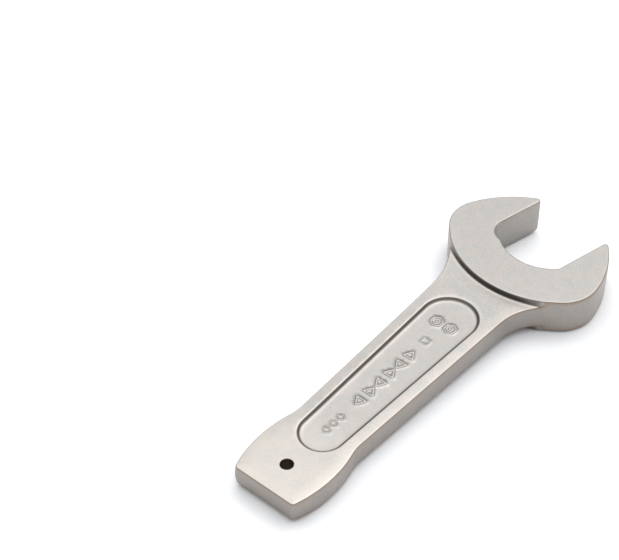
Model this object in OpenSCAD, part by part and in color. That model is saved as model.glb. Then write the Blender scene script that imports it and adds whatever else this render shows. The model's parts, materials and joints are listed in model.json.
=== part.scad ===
// Open-ended slugging wrench: one drop forging with an angled jaw, a recessed
// handle and a tail that is struck with a hammer.
// Millimetres. The origin is the centre of the nut that the jaw holds, on the
// forging's mid-plane. +X runs from the handle to the jaw and +Z is up.

/* [Jaw] */
// Width of the jaw between its two flats
jaw_w = 46; // [40:0.5:56]
// Angle between the jaw and the handle
jaw_angle = 13.5; // [0:0.5:18]
// Room between the nut's corner and the back of the jaw
throat_gap = 0.1; // [0:0.05:1]
// Radius of the corner that is cut deeper into the throat beside the left flat
relief_r = 9.6; // [5:0.1:12]
// How far behind the nut's centre the left flat runs into that corner
relief_back = 14; // [12:0.5:16]
// How far the left prong reaches past the nut's centre
left_reach = 15.5; // [12:0.5:22]
// How far the right prong reaches past the nut's centre
right_reach = 20; // [12:0.5:24]
// Radius at the end of each prong
tip_r = 1.6; // [1:0.1:3]

/* [Head] */
// Thickness of the head
head_t = 21.5; // [18:0.5:28]
// From the nut's centre to the back of the head
head_back = 51.3; // [46:0.1:60]
// From the nut's centre to the left side of the head
head_left = 50.6; // [46:0.1:56]
// From the nut's centre to the right side of the head
head_right = 43.7; // [42:0.1:56]
// Radius of the back of the head
back_r = 57; // [54:0.5:70]
// Radius of the left cheek, where the side turns into the back
left_cheek_r = 20.2; // [17:0.1:25]
// Radius of the right cheek
right_cheek_r = 22; // [17:0.1:25]
// Radius of each flank, from the cheek to the end of the prong
flank_r = 62; // [55:1:75]

/* [Handle] */
// Thickness of the handle and the tail
handle_t = 14.2; // [11:0.5:17]
// Width of the handle where it leaves the tail
handle_tail_w = 38; // [34:0.5:42]
// Width of the handle where the neck starts
handle_neck_w = 44.8; // [40:0.5:50]
// From the back of the head to the place where the neck starts
neck_l = 19.3; // [10:0.1:40]
// How far the handle's centre line lies to the left of the nut's centre
handle_offset = 4.9; // [0:0.1:6]
// Radius of the neck's left side
left_neck_r = 55; // [30:1:70]
// Radius of the neck's right side
right_neck_r = 33; // [25:1:70]

/* [Tail] */
// From the nut's centre to the struck face
face_reach = 226.1; // [190:0.1:280]
// How far the tail bulges past each side of the handle
tail_bulge = 3.6; // [1:0.1:6]
// Radius of the tail's bulged sides
bulge_r = 70; // [50:1:90]
// From the struck face to the tail's widest place
bulge_from_face = 23.7; // [18:0.1:28]
// From the struck face to the place where the handle starts
tail_l = 45.5; // [40:1:52]
// Radius of the hollow between the tail and the handle
shoulder_r = 25; // [10:1:40]
// Radius of the struck face's upright corners
corner_r = 2.5; // [1:0.1:5]

/* [Hanging hole] */
// Diameter of the hole
hole_d = 6.5; // [4:0.1:10]
// From the struck face to the hole's centre
hole_from_face = 17.3; // [12:0.1:22]

/* [Panel] */
// Depth of the recess in each face of the handle
panel_depth = 1.8; // [0.5:0.1:3]
// From the struck face to the recess
panel_from_face = 31.5; // [27:0.1:40]
// From the back of the head to the recess
panel_from_head = 15.3; // [8:0.1:40]
// Width of the flat rim between the recess and the handle's sides, at the tail
rim_tail_w = 6.8; // [3:0.1:8]
// Width of that rim at the neck
rim_neck_w = 6.8; // [3:0.1:9]

/* [Hidden] */

// Longest straight step along a curved outline
step = 1;
// How far a cut runs past the face that it opens
past = 1;

face_x = -face_reach;
back_centre = [back_r - head_back, 0];
throat_r = jaw_w / sqrt(3) + throat_gap;
mouth_l = 2 * max(left_reach, right_reach) + jaw_w;
jaw_along = [cos(jaw_angle), -sin(jaw_angle)];
jaw_across = [sin(jaw_angle), cos(jaw_angle)];
left = 1;
right = -1;

function direction(v) = atan2(v.y, v.x);

// Points on a circle from angle a0 to angle a1
function sweep(c, r, a0, a1) =
    let (n = max(2, ceil(abs(a1 - a0) * PI / 180 * r / step)))
    [for (i = [0 : n]) c + r * [cos(a0 + (a1 - a0) * i / n), sin(a0 + (a1 - a0) * i / n)]];

// The same from one direction to another, the short way round
function arc(c, r, from, to) =
    let (a0 = direction(from), turn = (direction(to) - a0 + 540) % 360 - 180)
    sweep(c, r, a0, a0 + turn);

// Where two circles cross, on the left (side 1) or the right (side -1) of the line c1 to c2
function crossing(c1, r1, c2, r2, side) =
    let (d = norm(c2 - c1), along = (c2 - c1) / d)
    let (a = (r1 * r1 - r2 * r2 + d * d) / (2 * d))
    c1 + a * along + side * sqrt(r1 * r1 - a * a) * [-along.y, along.x];

// The point of a line that lies r from the point c, before it (way -1) or after it (way 1)
function on_line(p, along, c, r, way) =
    let (w = p - c, b = w * along)
    p + (way * sqrt(b * b - w * w + r * r) - b) * along;

function backwards(points) = [for (i = [len(points) - 1 : -1 : 0]) points[i]];

// The handle's side: a point on it where the tail ends, its direction and its outward normal
function side_start(s) = [face_x + tail_l, handle_offset + s * handle_tail_w / 2];
function side_end(s) = [-head_back - neck_l, handle_offset + s * handle_neck_w / 2];
function side_along(s) = (side_end(s) - side_start(s)) / norm(side_end(s) - side_start(s));
function side_out(s) = s * [-side_along(s).y, side_along(s).x];

// Centres of the circles that make up each side of the outline
function neck_r(s) = s == left ? left_neck_r : right_neck_r;
function neck_centre(s) =
    on_line(side_start(s) + neck_r(s) * side_out(s), side_along(s), back_centre, back_r + neck_r(s), -1);
function bulge_centre(s) =
    [face_x + bulge_from_face, handle_offset + s * (handle_tail_w / 2 + tail_bulge - bulge_r)];
function shoulder_centre(s) =
    on_line(side_start(s) + shoulder_r * side_out(s), side_along(s), bulge_centre(s), bulge_r + shoulder_r, 1);
function corner_centre(s) =
    let (x = face_x + corner_r, c = bulge_centre(s))
    [x, c.y + s * sqrt(pow(bulge_r - corner_r, 2) - pow(x - c.x, 2))];

function cheek_r(s) = s == left ? left_cheek_r : right_cheek_r;
function cheek_centre(s) =
    let (y = s == left ? head_left - left_cheek_r : right_cheek_r - head_right)
    [back_centre.x - sqrt(pow(back_r - cheek_r(s), 2) - y * y), y];
function tip_centre(s) =
    ((s == left ? left_reach : right_reach) - tip_r) * jaw_along + s * (jaw_w / 2 + tip_r) * jaw_across;
function flank_centre(s) =
    crossing(cheek_centre(s), flank_r - cheek_r(s), tip_centre(s), flank_r - tip_r, -s);

// One side of the handle, from the struck face to the back of the head
function handle_side(s) = concat(
    arc(corner_centre(s), corner_r, [-1, 0], corner_centre(s) - bulge_centre(s)),
    arc(bulge_centre(s), bulge_r, corner_centre(s) - bulge_centre(s), shoulder_centre(s) - bulge_centre(s)),
    arc(shoulder_centre(s), shoulder_r, bulge_centre(s) - shoulder_centre(s), -side_out(s)),
    arc(neck_centre(s), neck_r(s), -side_out(s), back_centre - neck_centre(s)));

// One side of the head, from its back to the end of the prong
function head_side(s, from) = concat(
    arc(back_centre, back_r, from, cheek_centre(s) - back_centre),
    arc(cheek_centre(s), cheek_r(s), cheek_centre(s) - back_centre, cheek_centre(s) - flank_centre(s)),
    arc(flank_centre(s), flank_r, cheek_centre(s) - flank_centre(s), tip_centre(s) - flank_centre(s)),
    arc(tip_centre(s), tip_r, tip_centre(s) - flank_centre(s), -s * jaw_across));

function whole_side(s) = concat(handle_side(s), head_side(s, neck_centre(s) - back_centre));

module whole_outline() {
    polygon(concat(whole_side(left), backwards(whole_side(right))));
}

module head_outline() {
    polygon(concat(head_side(left, [-1, 0]), backwards(head_side(right, [-1, 0]))));
}

// The nut's space: two flats, a round throat that clears the nut's corner, and the relief
module jaw_outline() {
    rotate(-jaw_angle) intersection() {
        translate([-relief_back - throat_r, -jaw_w / 2]) square([relief_back + throat_r + mouth_l, jaw_w]);
        union() {
            circle(r = throat_r, $fn = 96);
            translate([-relief_back, jaw_w / 2 - relief_r]) circle(r = relief_r, $fn = 48);
            translate([-relief_back, 0]) square([relief_back, jaw_w / 2]);
            translate([0, -jaw_w / 2]) square([mouth_l, jaw_w]);
        }
    }
}

// The recess runs parallel to the handle's sides and has round ends
function rim_at(x) =
    let (t = (x - side_start(left).x) / (side_end(left).x - side_start(left).x))
    (handle_tail_w + (handle_neck_w - handle_tail_w) * t) / 2 - (rim_tail_w + (rim_neck_w - rim_tail_w) * t);
panel_x0 = face_x + panel_from_face;
panel_x1 = -head_back - panel_from_head;
end_r0 = rim_at(panel_x0 + rim_at(panel_x0));
end_r1 = rim_at(panel_x1 - rim_at(panel_x1));
end_c0 = [panel_x0 + end_r0, handle_offset];
end_c1 = [panel_x1 - end_r1, handle_offset];
taper = asin((end_r1 - end_r0) / norm(end_c1 - end_c0));

module panel_outline() {
    polygon(concat(
        sweep(end_c0, end_r0, 90 + taper, 270 - taper),
        sweep(end_c1, end_r1, -90 - taper, 90 + taper)));
}

module panel_cut() {
    translate([0, 0, handle_t / 2 - panel_depth]) linear_extrude(panel_depth + past) panel_outline();
}

module slab(t) {
    translate([0, 0, -t / 2]) linear_extrude(t) children();
}

module wrench_forging() {
    color([0.76, 0.74, 0.71]) difference() {
        union() {
            slab(handle_t) whole_outline();
            slab(head_t) head_outline();
        }
        slab(head_t + 2 * past) jaw_outline();
        panel_cut();
        mirror([0, 0, 1]) panel_cut();
        translate([face_x + hole_from_face, handle_offset, -handle_t / 2 - past])
            cylinder(d = hole_d, h = handle_t + 2 * past, $fn = 48);
    }
}

wrench_forging();
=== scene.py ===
# %% [markdown]
# # An open-ended slugging wrench
#
# A slugging wrench is one piece of steel. A hot bar is squeezed between two halves of a die, the rim
# of waste is trimmed off, the jaw is machined to size, and the whole tool is blasted with fine beads
# until it has an even satin grey. Its tail is thick because it is hit with a hammer.
#
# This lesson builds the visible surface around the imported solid. Lengths are thought of in
# millimetres, as a toolmaker does, and turned into metres at the last moment.

# %% Load the solid that the surface is built around
import math

import bmesh
import bpy
import numpy as np
from mathutils import Matrix, Vector, geometry, kdtree
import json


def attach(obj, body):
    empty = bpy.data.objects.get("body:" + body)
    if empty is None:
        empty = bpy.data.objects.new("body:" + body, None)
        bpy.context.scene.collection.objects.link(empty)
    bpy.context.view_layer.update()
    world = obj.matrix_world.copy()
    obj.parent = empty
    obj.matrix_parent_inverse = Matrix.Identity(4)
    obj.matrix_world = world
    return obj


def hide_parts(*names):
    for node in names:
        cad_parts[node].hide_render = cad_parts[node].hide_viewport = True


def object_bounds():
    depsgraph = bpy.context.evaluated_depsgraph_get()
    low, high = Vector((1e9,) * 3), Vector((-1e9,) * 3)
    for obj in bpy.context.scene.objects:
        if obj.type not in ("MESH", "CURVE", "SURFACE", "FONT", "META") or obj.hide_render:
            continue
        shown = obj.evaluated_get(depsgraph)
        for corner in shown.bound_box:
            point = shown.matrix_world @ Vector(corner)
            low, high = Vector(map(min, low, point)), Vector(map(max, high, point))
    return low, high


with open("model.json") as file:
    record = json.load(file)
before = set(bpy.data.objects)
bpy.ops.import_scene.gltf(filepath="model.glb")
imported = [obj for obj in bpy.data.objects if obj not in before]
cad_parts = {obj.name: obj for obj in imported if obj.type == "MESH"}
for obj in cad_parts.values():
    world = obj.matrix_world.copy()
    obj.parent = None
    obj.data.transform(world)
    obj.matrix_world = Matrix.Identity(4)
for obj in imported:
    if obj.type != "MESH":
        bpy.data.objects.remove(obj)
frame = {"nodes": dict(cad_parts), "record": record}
cad_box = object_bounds()
forging = frame["nodes"]["wrench_forging"]
mounts = {m["name"]: m for m in frame["record"]["mounts"]}
MM = 0.001
print("the solid measures", [round(1000 * (b - a), 1) for a, b in zip(*cad_box)], "mm")

# %% [markdown]
# ## Where we look from
#
# A long lens, 0.9 metres away and 44 degrees above the bench, looks along the handle from the
# struck end. A long lens keeps the far jaw nearly as large as the near tail. The camera's place is
# worked out from the point that it looks at, its distance and two angles, which is easier to change
# by hand than six loose numbers.

# %% Camera
TURN = math.radians(220.9913)
HEIGHT = math.radians(43.9415)
LEAN = math.radians(-0.7229)
AIM = Vector((-100.99, 82.90, 0)) * MM
DISTANCE = 904.0 * MM

backward = Vector((math.cos(HEIGHT) * math.cos(TURN), math.cos(HEIGHT) * math.sin(TURN), math.sin(HEIGHT)))
level = Vector((0, 0, 1)).cross(backward).normalized()
upright = backward.cross(level)
right = math.cos(LEAN) * level + math.sin(LEAN) * upright
up = backward.cross(right)

camera = bpy.data.objects.new("camera", bpy.data.cameras.new("camera"))
camera.data.lens = 98.85
camera.data.sensor_width = 36
camera.data.clip_end = 20
turned = Matrix((right, up, backward)).transposed().to_4x4()
camera.matrix_world = Matrix.Translation(AIM + DISTANCE * backward) @ turned
bpy.context.scene.collection.objects.link(camera)
bpy.context.scene.camera = camera
print("camera at", [round(c, 3) for c in camera.location])

# %% [markdown]
# ## The bench
#
# The head is thicker than the tail, so the wrench lies a little nose-up: it touches the bench at the
# bottom of the struck face and at the bottom of the head's back edge. The bench is one big plane, a
# hair's breadth below those two lines.

# %% Bench
HEAD_HALF = 10.75
HANDLE_HALF = 7.1
HEEL_X = -51.0
BENCH_SIZE = 12
BENCH_GAP = 0.15 * MM
tail_x = cad_box[0].x / MM
slope = (HEAD_HALF - HANDLE_HALF) / (HEEL_X - tail_x)

bm = bmesh.new()
bmesh.ops.create_grid(bm, x_segments=1, y_segments=1, size=BENCH_SIZE)
tilt = Matrix.Rotation(math.atan(slope), 4, "Y")
under_heel = Matrix.Translation((HEEL_X * MM, 0, -HEAD_HALF * MM - BENCH_GAP))
bmesh.ops.transform(bm, verts=bm.verts, matrix=under_heel @ tilt)
bench_mesh = bpy.data.meshes.new("bench")
bm.to_mesh(bench_mesh)
bm.free()
bench = bpy.data.objects.new("bench", bench_mesh)
bpy.context.scene.collection.objects.link(bench)

paper = bpy.data.materials.new("white paper")
paper.use_nodes = True
paper_face = paper.node_tree.nodes["Principled BSDF"]
paper_face.inputs["Base Color"].default_value = (0.93, 0.93, 0.94, 1)
paper_face.inputs["Roughness"].default_value = 0.75
bench_mesh.materials.append(paper)
print("the bench leans", round(math.degrees(math.atan(slope)), 2), "degrees")

# %% [markdown]
# ## Soft studio light
#
# Blasted steel has no sharp reflections, so its look comes from broad light. The wrench stands in a
# tent of white cloth that is brightest overhead and falls off towards its foot, where a band at the
# height of the bench is dark. Steep walls and lips mirror the foot of the tent, so they are drawn as
# dark lines, and edges that lean towards the eye mirror its bright top. One lamp above the jaw lights
# the rim along the handle's right side, and a weaker one the rim along its left side.

# %% Lamps and room
def lamp(name, place, size, power, colour=(1, 1, 1)):
    light = bpy.data.lights.new(name, "AREA")
    light.shape = "DISK"
    light.size = size
    light.energy = power
    light.color = colour
    thing = bpy.data.objects.new(name, light)
    thing.location = Vector(place)
    thing.rotation_mode = "QUATERNION"
    thing.rotation_quaternion = (Vector(place) - AIM).to_track_quat("Z", "Y")
    bpy.context.scene.collection.objects.link(thing)


lamp("softbox", (1.06, 0.0, 1.85), size=1.0, power=4, colour=(1.0, 0.985, 0.96))
lamp("left softbox", (0.95, 1.36, 1.28), size=1.2, power=1.4)

tent = bpy.data.worlds.new("tent")
bpy.context.scene.world = tent
tent.use_nodes = True
cloth, cloth_links = tent.node_tree.nodes, tent.node_tree.links
direction = cloth.new("ShaderNodeTexCoord").outputs["Generated"]
towards = cloth.new("ShaderNodeVectorMath")
towards.operation = "DOT_PRODUCT"
towards.inputs[1].default_value = Vector((0.25, 0.10, 0.96)).normalized()
cloth_links.new(direction, towards.inputs[0])
overhead = cloth.new("ShaderNodeMapRange")
overhead.inputs["From Min"].default_value = 0.3
cloth_links.new(towards.outputs["Value"], overhead.inputs["Value"])
falloff = cloth.new("ShaderNodeMath")
falloff.operation = "POWER"
falloff.inputs[1].default_value = 2.0
cloth_links.new(overhead.outputs["Result"], falloff.inputs[0])
brightness = cloth.new("ShaderNodeMath")
brightness.operation = "MULTIPLY_ADD"
brightness.inputs[1].default_value = 2.02
brightness.inputs[2].default_value = 0.52
cloth_links.new(falloff.outputs["Value"], brightness.inputs[0])
parts = cloth.new("ShaderNodeSeparateXYZ")
cloth_links.new(direction, parts.inputs["Vector"])
band = cloth.new("ShaderNodeMapRange")
band.interpolation_type = "SMOOTHSTEP"
band.inputs["From Min"].default_value = 0.02
band.inputs["From Max"].default_value = 0.32
band.inputs["To Min"].default_value = 0.2
cloth_links.new(parts.outputs["Z"], band.inputs["Value"])
glow = cloth.new("ShaderNodeMath")
glow.operation = "MULTIPLY"
cloth_links.new(brightness.outputs["Value"], glow.inputs[0])
cloth_links.new(band.outputs["Result"], glow.inputs[1])
cloth_links.new(glow.outputs["Value"], cloth["Background"].inputs["Strength"])
cloth["Background"].inputs["Color"].default_value = (0.97, 0.985, 1.0, 1)
bpy.context.scene.view_settings.view_transform = "Standard"

# %% [markdown]
# ## Outlines cut from the solid
#
# A forging's die is cut in plan, and so is this surface. `bisect_plane` slices a merged copy of the
# solid: just over mid-height for the whole outline, just under the handle's top for the recess, and
# above the handle for the head. Each slice comes back as loops of points in order.

# %% Slice the solid
def loops_at(height):
    """The closed outlines, largest first, where a level plane cuts the solid, anticlockwise."""
    bm = bmesh.new()
    bm.from_mesh(forging.data)
    bmesh.ops.remove_doubles(bm, verts=bm.verts[:], dist=1e-6)
    cut = bmesh.ops.bisect_plane(bm, geom=bm.verts[:] + bm.edges[:] + bm.faces[:], dist=1e-8,
                                 plane_co=(0, 0, height * MM), plane_no=(0, 0, 1))
    beside = {}
    for e in cut["geom_cut"]:
        if isinstance(e, bmesh.types.BMEdge):
            for a, b in (e.verts, reversed(e.verts)):
                beside.setdefault(a, []).append(b)
    left, loops = set(beside), []
    while left:
        here = min(left, key=lambda v: (v.co.x, v.co.y))
        loop = []
        while here is not None:
            left.discard(here)
            loop.append((here.co.x / MM, here.co.y / MM))
            here = next((v for v in beside[here] if v in left), None)
        p = np.array(loop)
        q = np.roll(p, -1, 0)
        area = np.sum(p[:, 0] * q[:, 1] - q[:, 0] * p[:, 1]) / 2
        loops.append((abs(area), p if area > 0 else p[::-1]))
    bm.free()
    return [p for _, p in sorted(loops, key=lambda t: -t[0])]


whole_loops = loops_at(0.05)
recess_loops = loops_at(HANDLE_HALF - 0.5)
head_loops = loops_at(HEAD_HALF - 1)
print("loops at mid-height, recess and head:", [len(x) for x in (whole_loops, recess_loops, head_loops)])

# %% [markdown]
# ## A path that can be measured against
#
# Every feature of the surface, such as an edge, a step or a raised mark, changes with the distance
# from some line in plan. All of these lines are closed. So each becomes a `Path`: points close
# together, an outward direction at each, and a search tree that finds the nearest one quickly.
# Outside counts as negative.

# %% Path
TOO_CLOSE = 0.35
MITRE_LIMIT = 0.6
TINY = 1e-9


def unit(v):
    return v / np.maximum(np.hypot(v[:, 0], v[:, 1]), TINY)[:, None]


class Path:
    def __init__(self, corners, spacing):
        spaced = [corners[0]]
        for c in corners[1:]:
            if np.hypot(*(c - spaced[-1])) > TOO_CLOSE * spacing:
                spaced.append(c)
        if np.hypot(*(spaced[0] - spaced[-1])) < TOO_CLOSE * spacing:
            spaced.pop()
        p = []
        for a, b in zip(spaced, spaced[1:] + spaced[:1]):
            n = max(1, math.ceil(np.hypot(*(b - a)) / spacing))
            p += [a + (b - a) * i / n for i in range(n)]
        self.set_points(np.array(p))

    def set_points(self, p):
        self.p = p
        u, v = unit(p - np.roll(p, 1, 0)), unit(np.roll(p, -1, 0) - p)
        nu, nv = np.c_[u[:, 1], -u[:, 0]], np.c_[v[:, 1], -v[:, 0]]
        self.out = unit(nu + nv)
        self.mitre = self.out / np.maximum(np.sum(self.out * nu, 1), MITRE_LIMIT)[:, None]
        self.tree = kdtree.KDTree(len(p))
        for i, (x, y) in enumerate(p):
            self.tree.insert((x, y, 0), i)
        self.tree.balance()

    def near(self, xy):
        """For each point, the nearest path point's number and the signed distance, positive inside."""
        i = np.array([self.tree.find((x, y, 0))[1] for x, y in xy], int)
        best = np.hypot(*(xy - self.p[i]).T)
        for j in (i - 1, i + 1):
            a, d = self.p[i], self.p[j % len(self.p)] - self.p[i]
            t = np.clip(np.sum((xy - a) * d, 1) / np.maximum(np.sum(d * d, 1), 1e-12), 0, 1)
            best = np.minimum(best, np.hypot(*(xy - a - t[:, None] * d).T))
        side = np.where(np.sum((xy - self.p[i]) * self.out[i], 1) > 0, -1, 1)
        return i, best * side


outline = Path(whole_loops[0], 0.8)
head = Path(head_loops[0], 0.8)
recess = Path(next(p for p in recess_loops[1:] if np.ptp(p[:, 0]) > 50), 0.9)
print("outline", len(outline.p), "points, head", len(head.p), "points, recess", len(recess.p), "points")

# %% [markdown]
# ## The jaw's arcs, made truly round
#
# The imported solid's arcs are drawn with short straight lines. The throat is machined, so its wall
# has to shine evenly: points that belong to the throat's arc or to the relief beside the left flat
# are moved onto the exact circles.

# %% Round the throat
lean = mounts["jaw_flat_left"]["axis"]
along_jaw = np.array([-lean[1], lean[0]])
across_jaw = -np.array(lean[:2])
JAW_HALF = 23.0
JAW_DEPTH = 32
THROAT_GAP = 0.1
THROAT_R = 2 * JAW_HALF / math.sqrt(3) + THROAT_GAP
RELIEF_R = 9.6
RELIEF_BACK = 14.0
ON_FLAT, ON_ARC, OFF_FLAT = 0.05, 0.09, 0.02
relief_at = -RELIEF_BACK * along_jaw + (JAW_HALF - RELIEF_R) * across_jaw


def in_jaw(p):
    return (np.abs(p @ across_jaw) < JAW_HALF + ON_FLAT) & (p @ along_jaw > -JAW_DEPTH)


p = outline.p.copy()
for centre, r in ((np.zeros(2), THROAT_R), (relief_at, RELIEF_R)):
    d = np.hypot(*(p - centre).T)
    on_arc = in_jaw(p) & (np.abs(d - r) < ON_ARC) & (np.abs(p @ across_jaw) < JAW_HALF - OFF_FLAT)
    p[on_arc] = centre + (p[on_arc] - centre) * (r / d[on_arc])[:, None]
    print("points put on the arc of radius", round(r, 2), ":", int(on_arc.sum()))
outline.set_points(p)

hole_mount = mounts["hanging_hole"]
hole_at = np.array(hole_mount["pos_m"][:2]) / MM
HOLE_R = hole_mount["dims"]["r_mm"]
turns = np.linspace(0, 2 * math.pi, 64, endpoint=False)
hole = Path(hole_at + HOLE_R * np.c_[np.cos(turns), np.sin(turns)], 0.5)

# %% [markdown]
# ## How each edge is finished
#
# The tail's walls lean inwards from the parting line by half a millimetre, which is what lets the
# forging leave the die. The head's walls lean less, and the machined jaw doesn't lean at all. The
# upper edges are crisp. The lower edges, which rub on the bench, are rounder, most of all under the
# struck face. These sizes are held for every point of the outline and smoothed along it, so that
# nothing jumps.

# %% Edge sizes along the outline
REACH = 3


def smoothed(values):
    """The values, averaged with their neighbours along the outline."""
    return sum(np.roll(values, k) for k in range(-REACH, REACH + 1)) / (2 * REACH + 1)


def share(x, start, end):
    """How far x is on the way from start to end: 0 before it and 1 past it."""
    return np.clip((x - start) / (end - start), 0, 1)


along_handle = outline.p[:, 0]
jaw = in_jaw(outline.p)
tail = share(along_handle, -178, -208)
struck = share(along_handle, -215, -224)
headward = share(along_handle, -75, -55)
lean_in = smoothed(np.where(jaw, 0, 0.22 + 0.28 * tail - 0.1 * headward))
upper_r = smoothed(np.where(jaw, 0.22, 0.42 + 0.1 * headward))
lower_r = smoothed(np.where(jaw, 0.3, 1.5 + 1.7 * struck))
print("upper edge radius", upper_r.min().round(2), "to", upper_r.max().round(2), "mm")

# %% [markdown]
# ## Raised marks
#
# The real tool has its size and steel raised on the recess floor. Plain shapes stand in for them:
# hexagons with a dot, like the nut that it turns, a small square, a row of triangles and a few
# lozenges. Each is a stroke round a centre line, so one height rule draws them all. A mark keeps its
# centre line, half the stroke's width and the stroke's height.

# %% Centre lines of the marks
MARKS_FROM = -225.6
BOLD, FINE, SLIGHT = (0.6, 0.34), (0.4, 0.2), (0.36, 0.24)
TO_JAW, TO_TAIL = 0.0, math.pi
row_y = hole_at[1]
marks = []


def mark(x, y, across, corners, stroke, start=0.0):
    """Adds a ring of corners round a place that is measured from the struck face."""
    a = start + 2 * math.pi * np.arange(corners) / corners
    line = np.c_[x + across[0] * np.cos(a), y + across[1] * np.sin(a)]
    marks.append((Path(line + (MARKS_FROM, row_y), 0.5), *stroke))


for y in (4.3, -4.3):
    for r in (3.3, 0.5):
        mark(139.0, y, (r, r), 6, BOLD)
mark(124.0, 0.0, (2.6, 2.9), 4, FINE, math.pi / 4)
for x, way in zip((111.2, 103.2, 95.2, 87.2, 79.2, 71.2), (TO_JAW, TO_TAIL) * 3):
    mark(x, 0.0, (3.2, 3.4), 3, BOLD, way)
for x in (57.0, 51.6, 46.2):
    mark(x, 0.0, (1.9, 2.2), 4, SLIGHT)
print(len(marks), "marks")

# %% [markdown]
# ## The height rule
#
# Seen from above, a forging never hides a surface of its own: the die has to lift straight off. So
# the whole upper side is one height for each point in plan. It starts at the head's top, drops down
# the step to the handle, falls away gently towards the handle's edges, sinks into the recess and
# rises again at the marks. Each change is a small table of distance against drop, read off like a
# toolmaker's profile gauge.

# %% Height of the upper and the lower side
STEP = HEAD_HALF - HANDLE_HALF
step_gauge = np.array([(-0.7, 0), (-0.4, 0.03), (-0.18, 0.12), (0, 0.4), (0.08, 1.0), (0.17, 1.9),
                       (0.28, 2.6), (0.45, 3.0), (0.7, 3.25), (1.1, 3.43), (1.7, 3.55), (2.5, 3.62),
                       (3.5, STEP)])
recess_gauge = np.array([(-1.0, 0), (-0.6, 0.06), (-0.3, 0.22), (0, 0.6), (0.3, 1.05), (0.6, 1.36),
                         (1.0, 1.56), (1.6, 1.69), (2.4, 1.77), (3.4, 1.8)])
RIM_FALL, RIM_REACH, RIM_CURVE = 0.5, 6.6, 1.4
RIM_AT_NECK = 0.5
MARK_SLOPE = 0.36
MARK_REACH = 8


def rounding(d, r):
    inner = np.clip(r - d, 0, r)
    return r - np.sqrt(np.maximum(r * r - inner * inner, 0))


def up_the_side(xy, path, half):
    """Which points are close to a mark, and how far up its side each is, from 0 to 1."""
    close = np.hypot(*(xy - path.p.mean(0)).T) < MARK_REACH
    from_side = np.abs(path.near(xy[close])[1]) - half
    return close, np.clip(0.5 - from_side / MARK_SLOPE, 0, 1)


def height(xy, upper=True):
    """Height above the parting plane, before the outer edge is rounded."""
    _, from_edge = outline.near(xy)
    _, in_head = head.near(xy)
    _, in_recess = recess.near(xy)
    drop = np.interp(-in_head, *step_gauge.T)
    lower_part = drop / STEP
    rim = RIM_FALL * np.clip(1 - np.maximum(from_edge, 0) / RIM_REACH, 0, 1) ** RIM_CURVE
    rim *= np.interp(xy[:, 0], (-100, -70), (1, RIM_AT_NECK))
    z = HEAD_HALF - drop - lower_part * (rim + np.interp(in_recess, *recess_gauge.T))
    if upper:
        for path, half, tall in marks:
            close, t = up_the_side(xy, path, half)
            z[close] += tall * t * t * (3 - 2 * t)
    return z


# %% [markdown]
# ## Where the steel gets painted shade and painted highlights
#
# The step, the wall of the recess and the sides of the marks get painted shade, a darker colour where
# shade falls. The foot of the step, the lips of the recess and the edges get painted highlights, a
# lighter colour where light catches, most of all at the tail. Both are read from gauges, as the height
# is, and kept on the points for the finish to use.

# %% Tone: painted shade and painted highlights
# Gauges of painted shade down the step and the recess wall, and of painted highlight at the step's foot,
# the recess lips and the edges.
step_dark = np.array([(-0.2, 0), (0, 0.65), (0.2, 1), (0.55, 0.85), (0.8, 0.3), (1.05, 0)])
recess_dark = np.array([(-0.35, 0), (0, 0.5), (0.5, 0.75), (1.0, 0.6), (1.5, 0.2), (2.0, 0)])
step_highlight = np.array([(0.8, 0), (1.2, 1.6), (1.7, 1), (2.3, 0.3), (3.4, 0)])
recess_highlight = np.array([(-1.4, 0), (-0.65, 1), (-0.3, 0), (1.3, 0), (1.8, 1.2), (2.5, 0)])
edge_highlight = np.array([(0.3, 0.9), (0.9, 0.6), (1.8, 0.25), (5.0, 0.1), (7.0, 0)])
# Strength of the painted shade on the marks' sides, and of the painted highlight on the jaw, the head and
# the tail, with its cap.
MARK_DARK = 2.4
JAW_HIGHLIGHT, HEAD_HIGHLIGHT, TAIL_HIGHLIGHT, MOST_HIGHLIGHT = 0.2, 0.4, 0.75, 1.6


def tone(xy):
    """How much painted shade each point of the upper side gets, from 0 to 1, and how much painted
    highlight, up to a cap.
    """
    _, from_edge = outline.near(xy)
    _, in_head = head.near(xy)
    _, in_recess = recess.near(xy)
    on_handle = np.interp(-in_head, *step_gauge.T) / STEP
    # Painted shade: darker colour down the step, on the recess wall and on the marks' sides.
    step = np.interp(-in_head, *step_dark.T) * share(from_edge, 0.5, 1.5)
    painted_shade = np.maximum(step, np.interp(in_recess, *recess_dark.T) * on_handle)
    for path, half, _ in marks:
        close, t = up_the_side(xy, path, half)
        painted_shade[close] = np.maximum(painted_shade[close], MARK_DARK * t * (1 - t))
    # Painted highlight: lighter colour at the step's foot, the recess lips and the edges, and over the
    # tail.
    foot = np.interp(-in_head, *step_highlight.T)
    lip = np.interp(in_recess, *recess_highlight.T) * on_handle
    edge_share = np.where(in_jaw(xy), JAW_HIGHLIGHT, HEAD_HIGHLIGHT + (1 - HEAD_HIGHLIGHT) * on_handle)
    edge = np.interp(from_edge, *edge_highlight.T) * edge_share
    painted_highlight = np.maximum(np.maximum(foot, lip), edge) + TAIL_HIGHLIGHT * share(xy[:, 0], -172, -202)
    return painted_shade, np.clip(painted_highlight, 0, MOST_HIGHLIGHT)


on_rim = np.array([[-120.0, row_y + 17.5]])
on_floor = np.array([[-160.0, row_y]])
print("height of the handle's rim", height(on_rim).round(2))
print("height of the recess floor", height(on_floor, False).round(2))

# %% [markdown]
# ## A sheet of points in plan
#
# A height rule is only as crisp as the points that sample it, so points follow each feature in rows:
# along the sheet's border, down the step, across the recess wall and over each mark's sides. Open
# areas get a plain grid. A point too near one that is already there is dropped.

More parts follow.
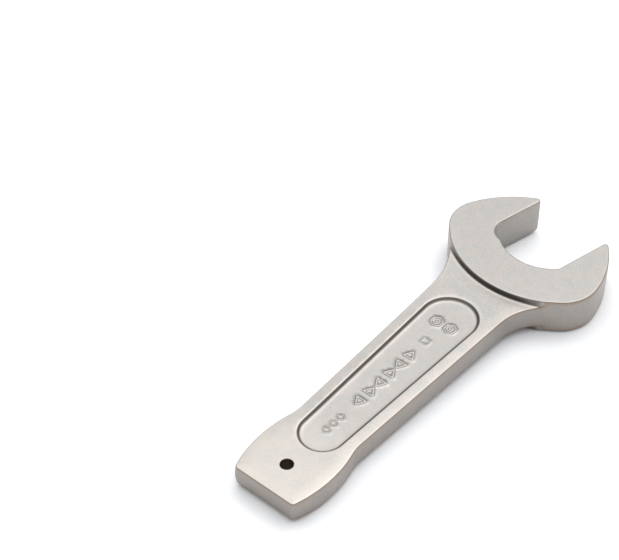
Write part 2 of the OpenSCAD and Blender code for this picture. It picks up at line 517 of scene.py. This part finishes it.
# %% Scatter the points
border = outline.p - outline.mitre * (lean_in + upper_r)[:, None]
HOLE_EDGE = 0.45
FOLDED = 0.04
GRID, GRID_ROW = 1.9, 0.866
hole_border = hole.p + hole.out * HOLE_EDGE

kept, cells = [], {}


def keep(points, apart):
    """Adds each point that has no neighbour nearer than apart."""
    for q in points:
        cx, cy = int(q[0] // 1), int(q[1] // 1)
        reach = math.ceil(apart)
        crowd = (kept[k] for i in range(-reach, reach + 1) for j in range(-reach, reach + 1)
                 for k in cells.get((cx + i, cy + j), ()))
        if all((q[0] - r[0]) ** 2 + (q[1] - r[1]) ** 2 >= apart * apart for r in crowd):
            cells.setdefault((cx, cy), []).append(len(kept))
            kept.append((q[0], q[1]))


def within(points, margin):
    i, d = outline.near(points)
    clear = d > lean_in[i] + upper_r[i] + margin
    return points[clear & (np.hypot(*(points - hole_at).T) > HOLE_R + HOLE_EDGE + margin)]


def rows(path, offsets, apart, margin=0.25):
    """Rows of points beside a path, without those where a row folds over itself."""
    for offset in offsets:
        q = path.p - path.out * offset
        q = q[np.abs(np.abs(path.near(q)[1]) - abs(offset)) < FOLDED]
        keep(within(q, margin), apart)


keep(border, apart=0)
keep(hole_border, apart=0)
border_count = len(kept)
rows(head, [-s for s, _ in step_gauge], apart=0.085, margin=0.12)
rows(recess, [s for s, _ in recess_gauge], apart=0.2)
for path, half, _ in marks:
    sides = [k * (half + e) for k in (-1, 1) for e in (-MARK_SLOPE / 2, 0, MARK_SLOPE / 2)]
    rows(path, [0] + sides, apart=0.16)
rows(outline, [1.25, 1.75, 2.4, 3.2, 4.2, 5.4], apart=0.45)
rows(hole, [-0.9, -1.5, -2.3], apart=0.4)
lo, hi = outline.p.min(0), outline.p.max(0)
grid = np.array([(x + (GRID / 2) * (j % 2), y)
                 for j, y in enumerate(np.arange(lo[1], hi[1], GRID * GRID_ROW))
                 for x in np.arange(lo[0], hi[0], GRID)])
keep(within(grid, margin=0.4), apart=1.0)
print(len(kept), "points in plan,", border_count, "of them on the borders")

# %% [markdown]
# ## Join the points, and lift them
#
# A constrained Delaunay triangulation joins the points into triangles as even as they can be, and
# keeps the two borders as edges. It makes none across the jaw's mouth, and those that would close the
# hole, with all three corners on its edge, are left out. Then each point is lifted to its height. The
# underside's height is stored beside it for later.

# %% Triangulate
ONLY_INSIDE, SAME_PLACE = 1, 1e-6
n_out, n_hole = len(border), len(hole_border)
fence = [(i, (i + 1) % n_out) for i in range(n_out)]
fence += [(n_out + i, n_out + (i + 1) % n_hole) for i in range(n_hole)]
points = [Vector(q) for q in kept]
joined = geometry.delaunay_2d_cdt(points, fence, [], ONLY_INSIDE, SAME_PLACE)
flat, _, triangles, came_from, _, _ = joined
flat = np.array([tuple(v) for v in flat])
triangles = np.array(triangles)
edge_of = np.array([min([k for k in ids if k < border_count], default=-1) for ids in came_from])
triangles = triangles[~(edge_of[triangles] >= n_out).all(1)]
print(len(triangles), "triangles in the sheet")

i, from_edge = outline.near(flat)
from_edge = np.maximum(from_edge - lean_in[i], 0)
from_hole = np.maximum(np.hypot(*(flat - hole_at).T) - HOLE_R, 0)
hole_drop = rounding(from_hole, HOLE_EDGE)
upper_z = height(flat) - np.maximum(rounding(from_edge, upper_r[i]), hole_drop)
lower_z = height(flat, False) - np.maximum(rounding(from_edge, lower_r[i]), hole_drop)
# Painted shade and painted highlight for each point of the sheet.
painted_shade_at, painted_highlight_at = tone(flat)

# %% Lift the sheet into a mesh
bm = bmesh.new()
under = bm.verts.layers.float.new("under")
# The painted shade and the painted highlight ride on the points into the finish.
painted_shade = bm.verts.layers.float.new("painted_shade")
painted_highlight = bm.verts.layers.float.new("painted_highlight")
tan = bm.verts.layers.float.new("tan")
place = bm.verts.layers.int.new("place")
used = np.zeros(len(flat), bool)
used[triangles.ravel()] = True
verts = [None] * len(flat)
for k in np.flatnonzero(used):
    v = bm.verts.new((flat[k, 0], flat[k, 1], upper_z[k]))
    v[under] = lower_z[k]
    v[painted_shade] = painted_shade_at[k]
    v[painted_highlight] = painted_highlight_at[k]
    v[place] = edge_of[k]
    verts[k] = v
for a, b, c in triangles:
    bm.faces.new((verts[a], verts[b], verts[c]))
rim_edges = [e for e in bm.edges if e.is_boundary]
print("border edges", len(rim_edges), "should be", n_out + n_hole)

# %% [markdown]
# ## Edge and wall, drawn out ring by ring
#
# The border is extruded outwards and down in rings. The first few turn round the edge's radius, and
# the rest run down the wall to the parting plane, swelling outwards by the wall's lean. Each ring is
# one `extrude_edge_only`, and its new points are put where the edge sizes say. The painted highlight
# fades from one ring to the next, and fast on the wall, and the rings get no painted shade. The
# rounded edge is tan, the wall below it only a little, and the machined jaw less still.

# %% Extrude the rings
TURN_STEPS = 5
WALL_STEPS = (0.2, 0.45, 0.72, 1.0)
# How much of the painted highlight the rounded edge and the wall keep at each ring.
ROUND_HIGHLIGHT, WALL_HIGHLIGHT = 0.8, 0.2
JAW_TAN, WALL_TAN = 0.3, 0.2
hole_up = height(hole.p)
rings = []
for s in range(1, TURN_STEPS + 1):
    phi = math.pi / 2 * (1 - s / TURN_STEPS)
    d = upper_r * (1 - math.cos(phi))
    xy = outline.p - outline.mitre * (lean_in + d)[:, None]
    dh = HOLE_EDGE * (1 - math.cos(phi))
    rings.append((np.r_[xy, hole.p + hole.out * dh],
                  np.r_[height(xy) - rounding(d, upper_r), hole_up - rounding(dh, HOLE_EDGE)],
                  np.r_[height(xy, False) - rounding(d, lower_r), hole_up - rounding(dh, HOLE_EDGE)]))
last_xy, last_up, last_down = rings[-1]
for t in WALL_STEPS:
    out = np.r_[lean_in * math.sin(t * math.pi / 2), np.zeros(n_hole)]
    normals = np.r_[outline.mitre, hole.mitre]
    rings.append((last_xy + normals * out[:, None], last_up * (1 - t), last_down * (1 - t)))

edges = rim_edges
for ring_number, (xy, up_z, down_z) in enumerate(rings, 1):
    on_wall = ring_number > TURN_STEPS
    new = bmesh.ops.extrude_edge_only(bm, edges=edges)["geom"]
    edges = [g for g in new if isinstance(g, bmesh.types.BMEdge) and g.is_boundary]
    for v in (g for g in new if isinstance(g, bmesh.types.BMVert)):
        k = v[place]
        v.co = (xy[k, 0], xy[k, 1], up_z[k])
        v[under] = down_z[k]
        # No painted shade on the rings; the painted highlight fades ring by ring.
        v[painted_shade] = 0
        v[painted_highlight] *= WALL_HIGHLIGHT if on_wall else ROUND_HIGHLIGHT
        v[tan] = (JAW_TAN if k < n_out and jaw[k] else 1) * (WALL_TAN if on_wall else 1)
print("half the forging has", len(bm.verts), "points")

# %% [markdown]
# ## The other half
#
# `mirror` copies the half through the parting plane and welds the two along it. The copy then takes
# the heights that were stored for the underside: no marks, and rounder edges.

# %% Mirror, weld and turn the faces outwards
ON_PLANE = 0.0005
everything = bm.verts[:] + bm.edges[:] + bm.faces[:]
bmesh.ops.mirror(bm, geom=everything, matrix=Matrix.Identity(4), merge_dist=ON_PLANE, axis="Z")
for v in bm.verts:
    if v.co.z < -ON_PLANE:
        v.co.z = -v[under]
bmesh.ops.scale(bm, vec=(MM, MM, MM), verts=bm.verts)
bmesh.ops.recalc_face_normals(bm, faces=bm.faces[:])
open_edges = sum(1 for e in bm.edges if not e.is_manifold)
volume = bm.calc_volume(signed=True) / MM ** 3
print(open_edges, "open edges,", round(volume), "cubic mm,", len(bm.faces), "faces")

wrench_mesh = bpy.data.meshes.new("wrench")
bm.to_mesh(wrench_mesh)
bm.free()
wrench_mesh.polygons.foreach_set("use_smooth", [True] * len(wrench_mesh.polygons))
wrench = bpy.data.objects.new("wrench", wrench_mesh)
bpy.context.scene.collection.objects.link(wrench)

# %% [markdown]
# ## Blasted steel
#
# Beads leave the steel covered in tiny dimples, so it is bright but never mirror-like. The finish is
# a metal with a middling roughness. Noise at 0.4 mm bends the light as the dimples do, noise at
# 0.7 mm gives the colour its grain, and two slower noises shift the colour and the roughness a
# little, as handling does. Over that come the three amounts that were kept on the points: painted
# shade on the step, the recess wall and the marks' sides, painted highlights on the edges, the
# step's foot, the recess lips and the tail, and tan along the edges.

# %% The steel
steel = bpy.data.materials.new("blasted steel")
steel.use_nodes = True
nodes, links = steel.node_tree.nodes, steel.node_tree.links
skin = nodes["Principled BSDF"]
skin.inputs["Metallic"].default_value = 1.0
where = nodes.new("ShaderNodeTexCoord")


def noise(scale, detail, rough=0.5):
    n = nodes.new("ShaderNodeTexNoise")
    n.inputs["Scale"].default_value = scale
    n.inputs["Detail"].default_value = detail
    n.inputs["Roughness"].default_value = rough
    links.new(where.outputs["Object"], n.inputs["Vector"])
    return n


def ramp(source, stops):
    r = nodes.new("ShaderNodeValToRGB")
    links.new(source, r.inputs["Fac"])
    r.color_ramp.elements[0].position, r.color_ramp.elements[0].color = stops[0][0], (*stops[0][1], 1)
    r.color_ramp.elements[1].position, r.color_ramp.elements[1].color = stops[1][0], (*stops[1][1], 1)
    return r


def mix(blend, amount, first, second):
    m = nodes.new("ShaderNodeMix")
    m.data_type = "RGBA"
    m.blend_type = blend
    for socket, value in (("Factor", amount), ("A", first), ("B", second)):
        target = next(i for i in m.inputs if i.name == socket and i.enabled)
        if isinstance(value, bpy.types.NodeSocket):
            links.new(value, target)
        else:
            target.default_value = value
    return next(o for o in m.outputs if o.enabled)


def amount_of(attribute, strength):
    a = nodes.new("ShaderNodeAttribute")
    a.attribute_name = attribute
    m = nodes.new("ShaderNodeMath")
    m.operation = "MULTIPLY"
    m.inputs[1].default_value = strength
    links.new(a.outputs["Fac"], m.inputs[0])
    return m.outputs["Value"]


cloud = noise(190, 3)
base = ramp(cloud.outputs["Fac"], [(0.35, (0.335, 0.328, 0.312)), (0.65, (0.368, 0.338, 0.315))])
grain = ramp(noise(1500, 2, 0.7).outputs["Fac"], [(0.3, (0.86, 0.86, 0.86)), (0.7, (1.12, 1.12, 1.12))])
blasted = mix("MULTIPLY", 1.0, base.outputs["Color"], grain.outputs["Color"])
# Painted shade: a near-black colour mixed in where the points carry it.
with_painted_shade = mix("MIX", amount_of("painted_shade", 0.8), blasted, (0.075, 0.060, 0.052, 1))
# Painted highlight: a light colour mixed in where the points carry it.
with_painted_highlight = mix("MIX", amount_of("painted_highlight", 0.5), with_painted_shade, (0.52, 0.475, 0.43, 1))
edged = mix("MIX", amount_of("tan", 0.72), with_painted_highlight, (0.30, 0.225, 0.165, 1))
links.new(edged, skin.inputs["Base Color"])
wear = ramp(noise(90, 4, 0.6).outputs["Fac"], [(0.3, (0.34, 0.34, 0.34)), (0.75, (0.42, 0.42, 0.42))])
links.new(wear.outputs["Color"], skin.inputs["Roughness"])
dimples = noise(2600, 2, 0.6)
bump = nodes.new("ShaderNodeBump")
bump.inputs["Strength"].default_value = 0.35
bump.inputs["Distance"].default_value = 0.00006
links.new(dimples.outputs["Fac"], bump.inputs["Height"])
links.new(bump.outputs["Normal"], skin.inputs["Normal"])
wrench_mesh.materials.append(steel)
print("steel made of", len(nodes), "nodes")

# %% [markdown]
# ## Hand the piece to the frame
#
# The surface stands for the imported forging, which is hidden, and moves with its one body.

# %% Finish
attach(wrench, "root")
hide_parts("wrench_forging")

import json
